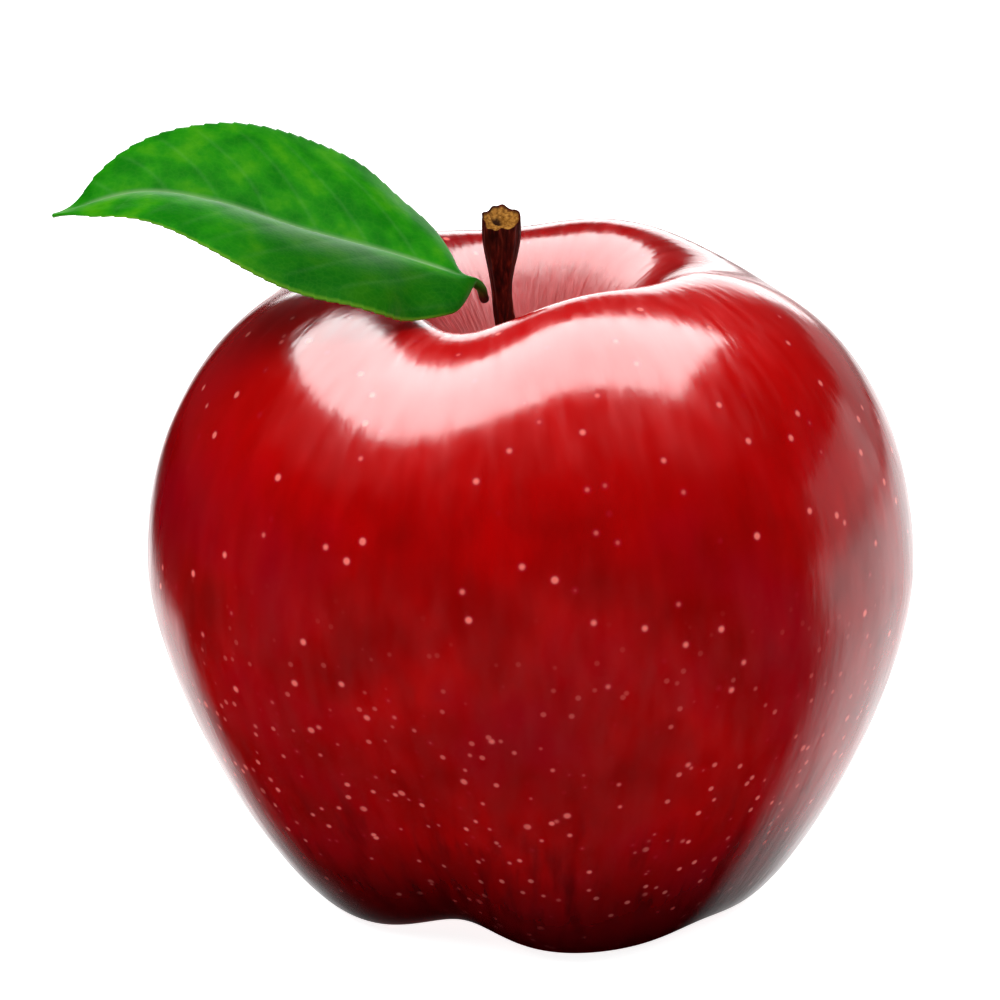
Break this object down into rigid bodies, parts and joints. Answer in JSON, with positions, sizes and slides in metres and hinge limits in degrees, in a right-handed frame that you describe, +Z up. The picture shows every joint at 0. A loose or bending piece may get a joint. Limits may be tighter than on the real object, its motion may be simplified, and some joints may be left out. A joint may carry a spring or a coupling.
{
  "type": "apple",
  "caption": "Whole ripe dark red apple with a lobed base and shoulders, its woody stem, a green leaf and the dried flower remains underneath, standing upright.",
  "frame": {"origin": "on the table, under the middle of the whole apple's box, leaf included", "axes": "+Z up through the stem, -Y the front, -X the side that the leaf points to"},
  "size_m": [0.0876, 0.0796, 0.0821],
  "materials": {
    "skin": "waxed, glossy, with pale dots",
    "bark": "dark thin bark, with a pale broken end",
    "leaf_green": "satin, veined",
    "dry_flower": "dry and matt"
  },
  "bodies": {
    "root": {"fruit": "skin", "stem": "bark", "leaf": "leaf_green", "sepal_1": "dry_flower", "sepal_2": "dry_flower", "sepal_3": "dry_flower", "sepal_4": "dry_flower", "sepal_5": "dry_flower", "stamens": "dry_flower"}
  },
  "joints": []
}
